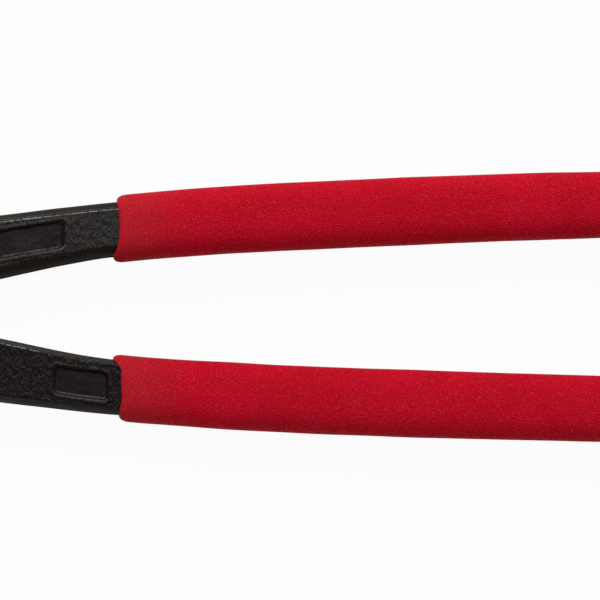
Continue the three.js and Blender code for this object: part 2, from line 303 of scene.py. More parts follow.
def joint_edges(left_start, right_start):
    """Shoulder and crotch by Bezier curves, then both sides of the boss in equal angles."""
    step = np.arange(1, SHOULDER_STEPS + 1) / SHOULDER_STEPS
    boss_start = on_boss(SHOULDER_ANGLE)[0]
    turn = (mix(ROOT_X, boss_start[0], SHOULDER_FULLNESS), ROOT_OUTER_EDGE - SHOULDER_DROP)
    shoulder = bezier([left_start, turn, boss_start], step)
    crotch = bezier([right_start, on_boss(-CROTCH_ANGLE)[0]], step)
    step = np.arange(1, BOSS_STEPS + 1) / BOSS_STEPS
    left_rim = on_boss(mix(SHOULDER_ANGLE, 180 - CROTCH_ANGLE, step))
    right_rim = on_boss(mix(-CROTCH_ANGLE, JAW_ANGLE, step))
    return np.concatenate([shoulder, left_rim]), np.concatenate([crotch, right_rim])


handle_left, handle_right = handle_edges(handle_places())
joint_left, joint_right = joint_edges(handle_left[-1], handle_right[-1])
print(len(handle_left), "pairs along the handle and", len(joint_left), "round the joint")

# %% [markdown]
# ## Jaw in pairs of points
#
# The jaw of an end cutter is a thick claw. Its inside is a hollow throat that ends in a bevel, ground to
# the cutting edge, and its back is a full curve from the boss to the nose. Both are cubic Bezier curves.

# %% Pairs along the jaw
EDGE_GAP = 0.3
EDGE_BEVEL = 4.6
EDGE_BEVEL_ANGLE = 30.0
BEVEL_STEPS = 8
THROAT_REACH = 6.3
THROAT_LEAN = 0.6
THROAT_FULLNESS = 0.72
THROAT_STEPS = 48
NOSE_FACE = 5.2
NOSE_FACE_ANGLE = 10.0
JAW_BULGE = 16.2
JAW_TAPER = 1.6
JAW_HEEL_FULLNESS = 0.26
JAW_TOE_FULLNESS = 0.8
CUTTING_EDGE = np.array([NOSE_X, -EDGE_GAP / 2])


def throat_edge():
    """The throat as a cubic Bezier curve, and then the straight bevel up to the cutting edge."""
    bevel = math.radians(EDGE_BEVEL_ANGLE)
    bevel_start = CUTTING_EDGE + EDGE_BEVEL * np.array([math.cos(bevel), -math.sin(bevel)])
    back = np.array([-ROOT_X, -CROTCH_HALF_GAP])
    pull = (mix(back[0], bevel_start[0], THROAT_FULLNESS), -THROAT_REACH)
    path = [back, (back[0] - THROAT_LEAN, -THROAT_REACH), pull, bevel_start]
    throat = bezier(path, np.linspace(0, 1, THROAT_STEPS))
    ground = bezier([bevel_start, CUTTING_EDGE], np.arange(1, BEVEL_STEPS + 1) / BEVEL_STEPS)
    return np.concatenate([throat, ground])


def jaw_back(share):
    """The jaw's back: a cubic Bezier curve from the boss, by heel and toe, to the nose's corner."""
    lean = math.radians(NOSE_FACE_ANGLE)
    corner = CUTTING_EDGE + NOSE_FACE * np.array([math.sin(lean), -math.cos(lean)])
    start = on_boss(JAW_ANGLE)[0]
    heel = (mix(start[0], corner[0], JAW_HEEL_FULLNESS), -JAW_BULGE)
    toe = (mix(start[0], corner[0], JAW_TOE_FULLNESS), JAW_TAPER - JAW_BULGE)
    return bezier([start, heel, toe, corner], share)


jaw_left = throat_edge()
along_jaw = np.arange(1, len(jaw_left) + 1) / len(jaw_left)
jaw_right = jaw_back(along_jaw)
print(len(jaw_left), "pairs along the jaw, the last", BEVEL_STEPS, "on the ground bevel")

# %% [markdown]
# ## How far the sides lean
#
# A forging must come out of its die, so the sides of the handle lean in. At the joint they are machined
# square. The share `settled` grows from 0 there to 1 at the neck, and the jaw's back has a draft of its
# own.

# %% All pairs, with their drafts
TOP, UNDER = 1, -1
OUTER_DRAFT = {TOP: 1.5, UNDER: 0.9}
INNER_DRAFT = {TOP: 1.45, UNDER: 0.8}
JAW_DRAFT = 1.8
JAW_DRAFT_FULL = 0.5

settled = smooth((handle_left[:, 0] - ROOT_X) / (NECK_X - ROOT_X))
square = np.zeros(len(joint_left))
edges = {
    "left": np.concatenate([handle_left, joint_left, jaw_left]),
    "right": np.concatenate([handle_right, joint_right, jaw_right]),
    "settled": np.concatenate([settled, square, 0 * along_jaw]),
    "jaw_draft": np.concatenate([0 * settled, square, JAW_DRAFT * smooth(along_jaw / JAW_DRAFT_FULL)]),
}
GROUND_FROM = len(edges["left"]) - BEVEL_STEPS - 1
print(len(edges["left"]), "pairs in all")

# %% [markdown]
# ## Sides, corners and faces of a section
#
# A die leaves flat faces, sides that lean in and swell outwards, softly rounded corners and a thin trimmed
# flash line at half height. A point is placed by `across`, its distance from the centre of the pair, and a
# share of the height. Corners are quadratic Bezier arcs, and the lines on the faces lie close enough to
# carry the panels' walls.

# %% Points of one side and one face
SIDE_SWELL = 1.65
PARTING_LAND = 0.6
CORNER_TOP = 0.4
CORNER_SIDE = 0.5
CORNER_POINTS = 6
SIDE_POINTS = 8
FACE_MARGIN = 0.03
FACE_LINE_COUNT = 56
FACE_LINES = np.linspace(FACE_MARGIN, 1 - FACE_MARGIN, FACE_LINE_COUNT)
FACE_LINES = np.concatenate([[FACE_MARGIN / 2], FACE_LINES, [1 - FACE_MARGIN / 2]])
ON_LAND = -1.0


def side_points(half, deep, draft, side, face):
    """One corner and one side, from the face down to the land: across, height share, face and side.

    At share q of the height, across = half width - draft * q ** swell. `half` holds the half width
    inside the flash and the one at the flash."""
    within, at_flash = half
    low = 1 - CORNER_SIDE / deep
    t = np.linspace(0, 1, CORNER_POINTS)[None, :]
    top = within - draft
    below = within - draft * low**SIDE_SWELL
    reach = (1 - t) ** 2 * (top - CORNER_TOP) + 2 * t * (1 - t) * top + t**2 * below
    share = 1 - t**2 * (1 - low)
    q = low * (1 - np.arange(1, SIDE_POINTS + 1) / SIDE_POINTS)[None, :]
    wall = within - draft * np.maximum(q, 0) ** SIDE_SWELL
    across = side * np.concatenate([reach, wall, at_flash], 1)
    shares = np.concatenate([share, q, np.full_like(at_flash, ON_LAND)], 1)
    return across, shares, np.full_like(across, face), np.full_like(across, side)


def face_points(within, drafts, face):
    """Lines across one face, spread between the right corner and the left one."""
    reach_left = within - drafts[1, face] - CORNER_TOP
    reach_right = CORNER_TOP + drafts[-1, face] - within
    across = mix(reach_right, reach_left, FACE_LINES)
    return across, np.ones_like(across), np.full_like(across, face), np.zeros_like(across)


def backwards(part):
    """The same points in the opposite order round the ring."""
    return tuple(values[:, ::-1] for values in part)


print(len(FACE_LINES), "lines on a face and", CORNER_POINTS + SIDE_POINTS + 1, "points down a side")

# %% [markdown]
# ## One ring for every pair
#
# Two faces and four sides, in order, make a closed ring. The faces tilt a little towards the outside of the
# handle. The two corners that face the key lamp are marked bright, for a little wear with a painted
# highlight, the others dull.

# %% Rings of the plain forging
FLASH_PROUD = 0.1
FLASH_STEP = 0.15
FACE_TILT = 0.046
# The corners facing the key lamp, which get a painted highlight on a little wear.
BRIGHT_CORNERS = ((1, TOP), (-1, UNDER))
DULL_CORNER = 0.3
CORNER_FROM = 0.86
CORNER_SPAN = 0.14


def section_rings(e):
    """Rings (count, around, 3) over pairs of edges, and what lies where round the ring.

    Height of a point: land + (half thickness - land) * share, less the outward tilt of the faces."""
    left, right = e["left"], e["right"]
    centre = (left + right) / 2
    across = left - right
    width = np.linalg.norm(across, axis=1)
    across = across / width[:, None]
    half = width[:, None] / 2
    settled = e["settled"][:, None]
    within = half - FLASH_PROUD * settled
    deep = {1: half_thickness(left[:, :1]) - PARTING_LAND, -1: half_thickness(right[:, :1]) - PARTING_LAND}
    drafts = {(1, face): OUTER_DRAFT[face] * settled for face in (TOP, UNDER)}
    drafts |= {(-1, face): INNER_DRAFT[face] * settled + e["jaw_draft"][:, None] for face in (TOP, UNDER)}
    sides = {
        (side, face): side_points((within, half), deep[side], draft, side, face)
        for (side, face), draft in drafts.items()
    }
    parts = [
        face_points(within, drafts, TOP),
        sides[1, TOP],
        backwards(sides[1, UNDER]),
        backwards(face_points(within, drafts, UNDER)),
        sides[-1, UNDER],
        backwards(sides[-1, TOP]),
    ]
    a, share, face, side = (np.concatenate(values, 1) for values in zip(*parts))
    face, side = face[0], side[0]
    top_middle, under_middle = ((drafts[-1, way] - drafts[1, way]) / 2 for way in (TOP, UNDER))
    from_middle = a - np.where(face == TOP, top_middle, under_middle)
    xy = centre[:, None, :] + across[:, None, :] * a[..., None]
    tall = half_thickness(xy[..., 0]) - FACE_TILT * settled * from_middle
    height = PARTING_LAND + (tall - PARTING_LAND) * share
    height = np.where(share == ON_LAND, PARTING_LAND - FLASH_STEP, height)
    bright = np.any([(side == s) & (face == f) for s, f in BRIGHT_CORNERS], axis=0)
    corner = np.where(side == 0, 0, np.clip((share - CORNER_FROM) / CORNER_SPAN, 0, 1))
    return {
        "rings": np.concatenate([xy, (face * height)[..., None]], -1),
        "from_middle": from_middle,
        "side": side,
        "face": face,
        "corner": corner * np.where(bright, 1, DULL_CORNER),
        "across": across,
    }


plain = section_rings(edges)
print("each ring has", plain["rings"].shape[1], "points")

# %% [markdown]
# ## Sunk panels
#
# Each lever has a long sunk panel on one face and a short one on the other. A panel is the signed distance
# to a rounded box, turned into a floor, short sloping walls and a faint raised rim. Its ends are square to
# the tool's axis, its long sides follow the bar, and the long wall that faces the key lamp gets a little
# wear with a painted highlight along its rim and foot.

# %% Panels as signed distances
LONG_PANEL = {"face": TOP, "from": 28.6, "to": 48.7, "outwards": -0.1, "wear_and_highlight": -1, "shine": 1.6}
LONG_WALLS = {"joint": 0.7, "grip": 1.2, "inner": 0.75, "outer": 0.45}
SHORT_PANEL = {"face": UNDER, "from": 46.1, "to": 57.1, "outwards": 0.4, "wear_and_highlight": 1, "shine": 1.0}
SHORT_WALLS = {"joint": 0.7, "grip": 0.4, "inner": 0.45, "outer": 0.8}
PANELS = ((LONG_PANEL, LONG_WALLS), (SHORT_PANEL, SHORT_WALLS))
PANEL_HALF_WIDTH = 2.95
PANEL_CORNER = 1.1
FLOOR_CORNER = 0.6
RIM_BAND = (0.0, 0.06, 0.12, 0.18)
FOOT_BAND = (0.72, 0.18, 0.95, 0.045)
WEAR_HIGHLIGHT_FROM = 0.68
WEAR_HIGHLIGHT_FADE = 0.12


def to_box(x, y, x_range, y_range, corner):
    """Signed distance to a box with rounded corners, negative inside."""
    dx = np.abs(x - sum(x_range) / 2) - (x_range[1] - x_range[0]) / 2 + corner
    dy = np.abs(y - sum(y_range) / 2) - (y_range[1] - y_range[0]) / 2 + corner
    return np.hypot(np.maximum(dx, 0), np.maximum(dy, 0)) + np.minimum(np.maximum(dx, dy), 0) - corner


def panel_shape(x, across, panel, walls):
    """How far down a panel's wall a point is, 0 on the face and 1 on the floor, and its distance to the rim.

    Between the rim's rounded box and the floor's smaller one it is rim / (rim - floor), in distances."""
    low, high = panel["outwards"] - PANEL_HALF_WIDTH, panel["outwards"] + PANEL_HALF_WIDTH
    rim = to_box(x, across, (panel["from"], panel["to"]), (low, high), PANEL_CORNER)
    floor_x = (panel["from"] + walls["joint"], panel["to"] - walls["grip"])
    floor = to_box(x, across, floor_x, (low + walls["inner"], high - walls["outer"]), FLOOR_CORNER)
    return smooth(-rim / (floor - rim)), rim


def band(depth, rise_from, rise, fall_from, fall):
    """1 in a band of depths and 0 outside it, by one S-curve up and one down."""
    return smooth((depth - rise_from) / rise) * (1 - smooth((depth - fall_from) / fall))


def wall_wear_and_highlight(depth, across, panel):
    """Wear with a painted highlight on two edges of the long wall facing the lamp, rim and foot, and 0
    elsewhere.
    """
    # Only the wall that faces the key lamp gets the painted highlight on its wear.
    towards = panel["wear_and_highlight"] * (across - panel["outwards"]) / PANEL_HALF_WIDTH
    edges = band(depth, *RIM_BAND) + band(depth, *FOOT_BAND)
    return panel["shine"] * edges * smooth((towards - WEAR_HIGHLIGHT_FROM) / WEAR_HIGHLIGHT_FADE)


for panel, walls in PANELS:
    print(f"panel {panel['to'] - panel['from']:.1f} mm long, {2 * PANEL_HALF_WIDTH:.1f} mm wide")

# %% [markdown]
# ## Forged relief
#
# Scale and a worn die leave a slow unevenness and shallow pits on a forging, and only the finest grain is
# left to the material. Faces move up or down and sides in or out. The relief fades out inside the grip and
# over the joint, whose faces are ground.

# %% Waves and pits with the panels
PANEL_DEPTH = 0.6
RIM_HEIGHT = 0.07
RIM_PLACE = 0.3
RIM_SPREAD = 0.3
WAVE = {"cell": 5.0, "height": 0.05, "seed": 0}
PIT = {"cell": 0.8, "height": 0.03, "seed": 1}
SIDE_WAVE = 0.6
FLOOR_CALM = 0.75
NOSE_FADE = 3.0
JOINT_FADE = 8.0


def forged_rings(section, seed):
    """The rings with panels, waves and pits, how deep in a panel each point is, and the panels' worn edges,
    which carry a painted highlight.

    Relief of a face: waves + pits, calmer on panel floors, - panel depth + a bell curve for the rim."""
    rings = section["rings"].copy()
    x, across = rings[..., 0], section["from_middle"]
    shown = smooth((GRIP_FRONT + HIDDEN_DEPTH - x) / HIDDEN_DEPTH)
    forged = shown * smooth((x - ROOT_X + JOINT_FADE / 2) / JOINT_FADE)
    waves = uneven(rings, WAVE, seed) * shown * smooth((x - x.min()) / NOSE_FADE)
    pits = uneven(rings, PIT, seed) * forged
    on_face = section["side"] == 0
    sunk, rim, wear_and_highlight = 0 * x, 0 * x, 0 * x
    for panel, walls in PANELS:
        depth, distance = panel_shape(x, across, panel, walls)
        on_this = on_face & (section["face"] == panel["face"])
        sunk += np.where(on_this, depth, 0)
        wear_and_highlight += np.where(on_this, wall_wear_and_highlight(depth, across, panel), 0)
        rim += np.where(on_this, np.exp(-(((distance - RIM_PLACE) / RIM_SPREAD) ** 2)), 0)
    level = FACE_TILT * across - PANEL_DEPTH
    relief = waves * forged + pits * (1 - FLOOR_CALM * sunk) + level * sunk + RIM_HEIGHT * rim
    rings[..., 2] += np.where(on_face, relief * section["face"], 0)
    outward = np.sign(across)[..., None] * section["across"][:, None, :]
    rings[..., :2] += np.where(on_face, 0, SIDE_WAVE * waves)[..., None] * outward
    return rings, sunk, wear_and_highlight


print(f"panels {PANEL_DEPTH} mm deep, waves {WAVE['height']} mm and pits {PIT['height']} mm high")

# %% [markdown]
# ## Turned solids and cuts
#
# Where the levers cross, each one is cut to half its thickness by a round seat for the other, and drilled
# and countersunk for the rivet. These are machine cuts with crisp walls, so they are Boolean differences
# with turned solids: a profile of radius and height spun about the pivot.

# %% Spinning a profile and cutting
TURNED_SIDES = 144


def turned(profile):
    """Rings of a profile of (radius, height) pairs, from the bottom up, spun about the pivot axis."""
    angle = -np.linspace(0, 2 * math.pi, TURNED_SIDES, endpoint=False)
    profile = np.asarray(profile, float)
    radius, height = profile[:, :1], profile[:, 1:]
    rings = np.stack([radius * np.cos(angle), radius * np.sin(angle), height + 0 * angle], -1)
    return rings[:, ::-1]


def cut(piece, cutters):
    """Boolean differences, kept as the piece's own mesh, and the cutters removed."""
    for cutter in cutters:
        difference = piece.modifiers.new("cut", "BOOLEAN")
        difference.operation = "DIFFERENCE"
        difference.solver = "EXACT"
        difference.object = cutter
    bpy.context.view_layer.update()
    evaluated = piece.evaluated_get(bpy.context.evaluated_depsgraph_get())
    finished = bpy.data.meshes.new_from_object(evaluated)
    blank = piece.data
    piece.modifiers.clear()
    piece.data = finished
    bpy.data.meshes.remove(blank)
    for cutter in cutters:
        mesh = cutter.data
        bpy.data.objects.remove(cutter)
        bpy.data.meshes.remove(mesh)


print(f"turned solids have {TURNED_SIDES} sides")

# %% [markdown]
# ## The two levers
#
# The rings are skinned and painted, and the joint is cut last, as on the real tool. The lap is a little
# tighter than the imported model's, so that no daylight shows through the joint.

# %% Levers skinned, painted and cut
LAP_GAP = 0.08
SHOULDER_GAP = 0.3
RIVET_RADIUS = 4.5
RIVET_HEAD_RADIUS = (rivet_high[0] - rivet_low[0]) / 2
RIVET_CONE_DEPTH = 1.8
RIVET_FIT = 0.2
CUT_MARGIN = 2.0
NEAR_AXIS = 1e-3
TAIL_SHRINK = 0.7
LEVER_CRISP = 32.0
GLINT = {"right": 0.99, "left": 0.98}
GLINT_END = {"right": 60.0, "left": 42.5}
GLINT_FADE = 3.0
GLINT_LOSS = 0.18


def joint_cutters(place):
    """Two turned solids: the seat of the other lever, and the rivet's hole with its countersink."""
    half = JOINT_THICKNESS / 2
    seat, bottom = BOSS_RADIUS + SHOULDER_GAP, -NOSE_WIDTH
    bore, sink = RIVET_RADIUS + RIVET_FIT, RIVET_HEAD_RADIUS + RIVET_FIT
    mate = [(NEAR_AXIS, bottom), (seat, bottom), (seat, LAP_GAP / 2), (NEAR_AXIS, LAP_GAP / 2)]
    hole = [(NEAR_AXIS, -CUT_MARGIN), (bore, -CUT_MARGIN), (bore, half - RIVET_CONE_DEPTH)]
    hole += [(sink, half), (sink, half + CUT_MARGIN), (NEAR_AXIS, half + CUT_MARGIN)]
    return [skin("mate", turned(mate), place), skin("hole", turned(hole), place)]


def paint_lever(piece, side, rings, sunk, wear_and_highlight):
    """Numbers for the lacquer: corners, panels and faces by point, and ground bevels by face."""
    glint = GLINT[side] - GLINT_LOSS * smooth((rings[..., 0] - GLINT_END[side]) / GLINT_FADE)
    paint(piece, "corner", plain["corner"] * glint)
    paint(piece, "sunk", sunk)
    # Wear on the panels' walls, with its painted highlight.
    paint(piece, "wear_and_highlight", wear_and_highlight)
    paint(piece, "face", np.broadcast_to(plain["side"] == 0, sunk.shape))
    bevel = (np.arange(len(rings))[:, None] >= GROUND_FROM) & (plain["side"] == 1)
    quads = bevel[:-1] & np.roll(bevel, -1, 1)[:-1] & bevel[1:]
    paint(piece, "ground", np.concatenate([quads.ravel(), [0, 1]]), "FACE")


def make_lever(side):
    """One lever: forged rings with a smaller ring at the tail, skinned, painted, then cut for the joint."""
    rings, sunk, wear_and_highlight = forged_rings(plain, SEEDS[side])
    tail = plain["rings"][0]
    rings[0] = mix(tail.mean(0), tail, TAIL_SHRINK)
    piece = skin(f"{side}_forged_lever", rings, PLACES[side])
    paint_lever(piece, side, rings, sunk, wear_and_highlight)
    cut(piece, joint_cutters(PLACES[side]))
    soften(piece, LEVER_CRISP)
    return piece


levers = {side: make_lever(side) for side in PLACES}
for side, piece in levers.items():
    print(side, "lever has", len(piece.data.polygons), "faces")

# %% [markdown]
# ## The rivet
#
# The rivet is hammered into both countersinks, so its heads are low, crowned and a little uneven. It is a
# turned profile with a flat end, and the noise helper sinks its crown by a few hundredths of a millimetre.

# %% Hammered rivet
RIVET_FLAT_RADIUS = 4.4
RIVET_MIDDLE = 0.02
FLAT_RINGS = 8
CROWN_POINTS = 10
HAMMER = {"cell": 2.2, "height": 0.05, "seed": 5}
RIVET_CRISP = 40.0


def rivet_profile():
    """Radius and height from the bottom up: flat, crown, cone, shank, cone, crown, flat."""
    half = JOINT_THICKNESS / 2
    proud = rivet_high[2] - MID_PLANE - half
    angle = np.linspace(0, math.pi / 2, CROWN_POINTS)
    crown_radius = mix(RIVET_FLAT_RADIUS, RIVET_HEAD_RADIUS, np.cos(angle))
    crown = np.stack([crown_radius, half + proud * np.sin(angle)], -1)
    flat = [(r, half + proud) for r in np.linspace(RIVET_FLAT_RADIUS, RIVET_MIDDLE, FLAT_RINGS + 1)[1:]]
    upper = np.concatenate([[(RIVET_RADIUS, half - RIVET_CONE_DEPTH)], crown, flat])
    return np.concatenate([upper[::-1] * (1, -1), upper])


def hammered(rings):
    """The ends sink by height * (1 + noise) / 2, so they never stand higher than the flat end."""
    sunk = HAMMER["height"] * (1 + wavy(rings, HAMMER["cell"], HAMMER["seed"])) / 2
    rings = rings.copy()
    end = np.abs(rings[..., 2]) > JOINT_THICKNESS / 2
    rings[..., 2] -= np.where(end, np.sign(rings[..., 2]) * sunk, 0)
    return rings


rivet = skin("hammered_rivet", hammered(turned(rivet_profile())), right_side)
soften(rivet, RIVET_CRISP)
print("rivet has", len(rivet.data.polygons), "faces")

# %% [markdown]
# ## Bar and coat as radii
#
# The handle is dipped in liquid vinyl and cured, which leaves an even coat, softly squared in section. So
# the grip is two surfaces round the bar's centre: the bar itself, read from its own rings, and a
# superellipse a coat's thickness larger, closed by a dome past the bar's tail.

# %% Inner and outer surface of a grip
GRIP_COAT = {"right": 1.25, "left": 1.18}
TAIL_COAT = 1.08
COAT_FADE = 40.0
GRIP_SQUARENESS = 2.5
DOME_LENGTH = 8.0
BAR_END = TAIL_X - TAIL_CHAMFER


def bar_radius(x, angle):
    """Distance from the bar's centre to its surface at each x and angle, read from the bar's own rings."""
    left, right = handle_edges(x)
    bar = section_rings({"left": left, "right": right, "settled": x**0, "jaw_draft": 0 * x})["rings"]
    y = bar[..., 1] - along_handle(OFFSET, x)[:, None]
    around, far = np.arctan2(bar[..., 2], y), np.hypot(y, bar[..., 2])
    order = np.argsort(around, 1)
    around, far = np.take_along_axis(around, order, 1), np.take_along_axis(far, order, 1)
    wrapped = (angle + math.pi) % (2 * math.pi) - math.pi
    return np.array([np.interp(wrapped, a, f, period=2 * math.pi) for a, f in zip(around, far)])


def skin_radius(x, angle, coat):
    """Superellipse round the bar plus its coat: r = (|cos / a| ** n + |sin / b| ** n) ** (-1 / n)."""
    inside = np.minimum(x, BAR_END)
    coat = mix(TAIL_COAT, coat, smooth((GRIP_END - x) / COAT_FADE))
    a = (along_handle(WIDTH, inside) / 2 + coat)[:, None]
    b = (half_thickness(inside) + coat)[:, None]
    dome = np.sqrt(np.maximum(1 - np.clip((x - GRIP_END + DOME_LENGTH) / DOME_LENGTH, 0, 1) ** 2, 0))
    n = GRIP_SQUARENESS
    spread = np.abs(np.cos(angle) / a) ** n + np.abs(np.sin(angle) / b) ** n
    return dome[:, None] * spread ** (-1 / n)


print(f"coats {GRIP_COAT['right']} and {GRIP_COAT['left']} mm thick, {TAIL_COAT} mm at the tail")

# %% [markdown]
# ## The dip line
#
# The liquid stops in a line that wanders round the bar. It lies farther back on the faces than on the
# sides, and not alike inside and outside, since a handle goes into the bath at an angle. A fine raggedness
# comes from noise read on a circle, so it closes on itself.

# %% Where the dip stops
DIP_EDGE = 0.42
DIP_SHOULDER = 0.88
DIP_LINES = {
    "right": {"top": 0.9, "inner": -0.45, "outer": 0.25},
    "left": {"top": 1.35, "inner": -0.45, "outer": 0.75},
}
DIP_RAGGED = {"cell": 1.1, "height": 0.12, "seed": 3}
RAGGED_RADIUS = 6.0


def dip_line(angle, line):
    """Distance of the dip line from the nominal front: an S-curve in |sin| from the sides to the faces."""
    up = smooth((np.abs(np.sin(angle)) - DIP_EDGE) / (DIP_SHOULDER - DIP_EDGE))
    outwards = (1 + np.cos(angle)) / 2
    return up * line["top"] + (1 - up) * mix(line["inner"], line["outer"], outwards)


def ragged_line(angle, seed):
    """The line's fine unevenness, read where a circle round the bar passes through the noise."""
    circle = [0 * angle, RAGGED_RADIUS * np.cos(angle), RAGGED_RADIUS * np.sin(angle)]
    return uneven(np.stack(circle, -1), DIP_RAGGED, seed)


for side, line in DIP_LINES.items():
    print(side, "dip line:", line)

# %% [markdown]
# ## The dipped grips
#
# One closed skin starts at the end dome, runs forward over the coat, rolls in at the lip and goes back
# along the bar to its tail. The lip is two quarter turns, a wide one outside and a small one tucked under,
# as surface tension leaves it.

# %% Grips from dome to inner wall
GRIP_SIDES = 128
GRIP_STEPS = 150
DOME_STEPS = 18
LIP_LENGTH = 1.9
LIP_TUCK = 0.3
LIP_MIDDLE = 0.3
LIP_INNER = 0.04
LIP_POINTS = 9
INNER_STEPS = 30
DIP_RUN = 14.0
RAGGED_POWER = 4
COAT_WAVE = {"cell": 9.0, "height": 0.07, "seed": 2}
GRIP_CRISP = 60.0


def grip_profile():
    """X and share of the coat for each ring, in order: 1 on the outer skin and 0 on the bar."""
    turn = np.linspace(0, math.pi / 2, DOME_STEPS, endpoint=False)
    dome_x = GRIP_END - DOME_LENGTH * (1 - np.cos(turn))
    body_x = np.linspace(GRIP_END - DOME_LENGTH, GRIP_FRONT + LIP_LENGTH, GRIP_STEPS)
    roll = np.linspace(0, math.pi / 2, LIP_POINTS)[1:]
    lip_x = GRIP_FRONT + LIP_LENGTH * (1 - np.sin(roll))
    tuck_x = GRIP_FRONT + LIP_TUCK * (1 - np.cos(roll))
    inner_x = np.linspace(GRIP_FRONT + LIP_TUCK, BAR_END, INNER_STEPS)[1:]
    shares = [np.ones(DOME_STEPS + GRIP_STEPS), mix(LIP_MIDDLE, 1, np.cos(roll))]
    shares += [mix(LIP_MIDDLE, LIP_INNER, np.sin(roll)), np.full(len(inner_x), LIP_INNER)]
    return np.concatenate([dome_x, body_x, lip_x, tuck_x, inner_x]), np.concatenate(shares)


def make_grip(side):
    """One grip: radius = bar + (skin - bar) * share, and near the front points move with the dip line."""
    x, share = grip_profile()
    share = share[:, None]
    angle = -np.linspace(0, 2 * math.pi, GRIP_SIDES, endpoint=False)
    radius = skin_radius(x, angle, GRIP_COAT[side])
    core = bar_radius(np.minimum(x, BAR_END), angle)
    radius = np.where(share < 1, mix(core, radius, share), radius)
    near_front = smooth(1 - (x - GRIP_FRONT) / DIP_RUN)[:, None]
    moved = x[:, None] + near_front * dip_line(angle, DIP_LINES[side])
    moved = moved + near_front**RAGGED_POWER * ragged_line(angle, SEEDS[side])
    y = along_handle(OFFSET, moved) + radius * np.cos(angle)
    rings = np.stack([moved, y, radius * np.sin(angle)], -1)
    swell = uneven(rings, COAT_WAVE, SEEDS[side]) * (share > LIP_MIDDLE)
    outward = np.stack([0 * angle, np.cos(angle), np.sin(angle)], -1)
    piece = skin(f"{side}_dipped_grip", rings + swell[..., None] * outward, PLACES[side])
    paint(piece, "from_lip", np.broadcast_to((x - GRIP_FRONT)[:, None], radius.shape))
    soften(piece, GRIP_CRISP)
    return piece


grips = {side: make_grip(side) for side in PLACES}
for side, piece in grips.items():
    print(side, "grip has", len(piece.data.polygons), "faces")

# %% [markdown]
# ## Writing materials as sums
#
# A shader graph is easier to read as arithmetic. A `Wire` is one socket, and adding, subtracting or
# multiplying wires makes the Math nodes.

# %% Wires that can be added and multiplied
class Wire:
    """One output socket that can be used in sums."""

    def __init__(self, finish, socket):
        self.finish = finish
        self.socket = socket

    def math(self, operation, first, second):
        """A Math node over two wires or numbers."""
        return self.finish.node("ShaderNodeMath", {"operation": operation}, {0: first, 1: second})

    def __add__(self, other):
        return self.math("ADD", self, other)

    def __sub__(self, other):
        return self.math("SUBTRACT", self, other)

    def __rsub__(self, other):
        return self.math("SUBTRACT", other, self)

    def __mul__(self, other):
        return self.math("MULTIPLY", self, other)

    __radd__ = __add__
    __rmul__ = __mul__


print("wires are ready for sums")

# %% [markdown]
# ## A finish and its nodes
#
# A `Finish` is one material. Its `node` method makes any node from its type, its settings and its sockets.
# The other methods are short names for common nodes, and `surface` joins the finished shader to the output.

# %% Short names for shader nodes
class Finish:
    """One material and the nodes in it."""

    def __init__(self, name):
        self.material = bpy.data.materials.new(name)
        self.material.use_nodes = True
        self.tree = self.material.node_tree
        self.tree.nodes.clear()

    def node(self, kind, settings=None, sockets=None, output=0):
        """Any node: settings first, then a value or a wire for each named socket."""
        made = self.tree.nodes.new(kind)
        for key, value in (settings or {}).items():
            setattr(made, key, value)
        for key, value in (sockets or {}).items():
            if isinstance(value, Wire):
                self.tree.links.new(value.socket, made.inputs[key])
            else:
                made.inputs[key].default_value = value
        return Wire(self, made.outputs[output]) if made.outputs else None

    def place(self):
        """Where a point lies on its object, in metres."""
        return self.node("ShaderNodeTexCoord", output="Object")

    def stretched(self, scale):
        """The same place with each axis scaled, for lines and streaks."""
        return self.node("ShaderNodeMapping", {}, {"Vector": self.place(), "Scale": scale})

    def painted(self, name):
        """A number that was kept on the mesh."""
        return self.node("ShaderNodeAttribute", {"attribute_name": name}, output="Fac")

    def noise(self, size_mm, detail=2.0, vector=None, roughness=0.5):
        """Noise from 0 to 1 with blobs about size_mm across."""
        sockets = {"Vector": vector or self.place(), "Scale": 1 / (size_mm * MM)}
        sockets |= {"Detail": detail, "Roughness": roughness}
        return self.node("ShaderNodeTexNoise", {}, sockets)

    def step(self, value, low, high):
        """0 below low, 1 above high, and an S-curve between."""
        sockets = {"Value": value, "From Min": low, "From Max": high}
        return self.node("ShaderNodeMapRange", {"interpolation_type": "SMOOTHSTEP"}, sockets)

    def blend(self, share, first, second):
        """A colour between two colours."""
        sockets = {"Factor": share, 6: first, 7: second}
        return self.node("ShaderNodeMix", {"data_type": "RGBA"}, sockets, 2)

    def bump(self, height, depth_mm, under=None):
        """A normal raised by height times depth_mm."""
        sockets = {"Height": height, "Distance": depth_mm * MM, "Strength": 1.0}
        if under is not None:
            sockets["Normal"] = under
        return self.node("ShaderNodeBump", {}, sockets)

    def principled(self, **sockets):
        """A Principled shader; a socket's name is written with underscores."""
        named = {key.replace("_", " "): value for key, value in sockets.items()}
        return self.node("ShaderNodeBsdfPrincipled", {}, named, "BSDF")

    def surface(self, shader):
        """Joins a shader to the output, and gives the finished material."""
        self.node("ShaderNodeOutputMaterial", {}, {"Surface": shader})
        return self.material


def srgb(red, green, blue):
    """A colour written as 0 to 255, as linear light with full alpha, by the sRGB curve."""
    share = np.array([red, green, blue]) / 255
    linear = np.where(share <= 0.04045, share / 12.92, ((share + 0.055) / 1.055) ** 2.4)
    return (*linear.tolist(), 1.0)


print("finishes can be written as sums")
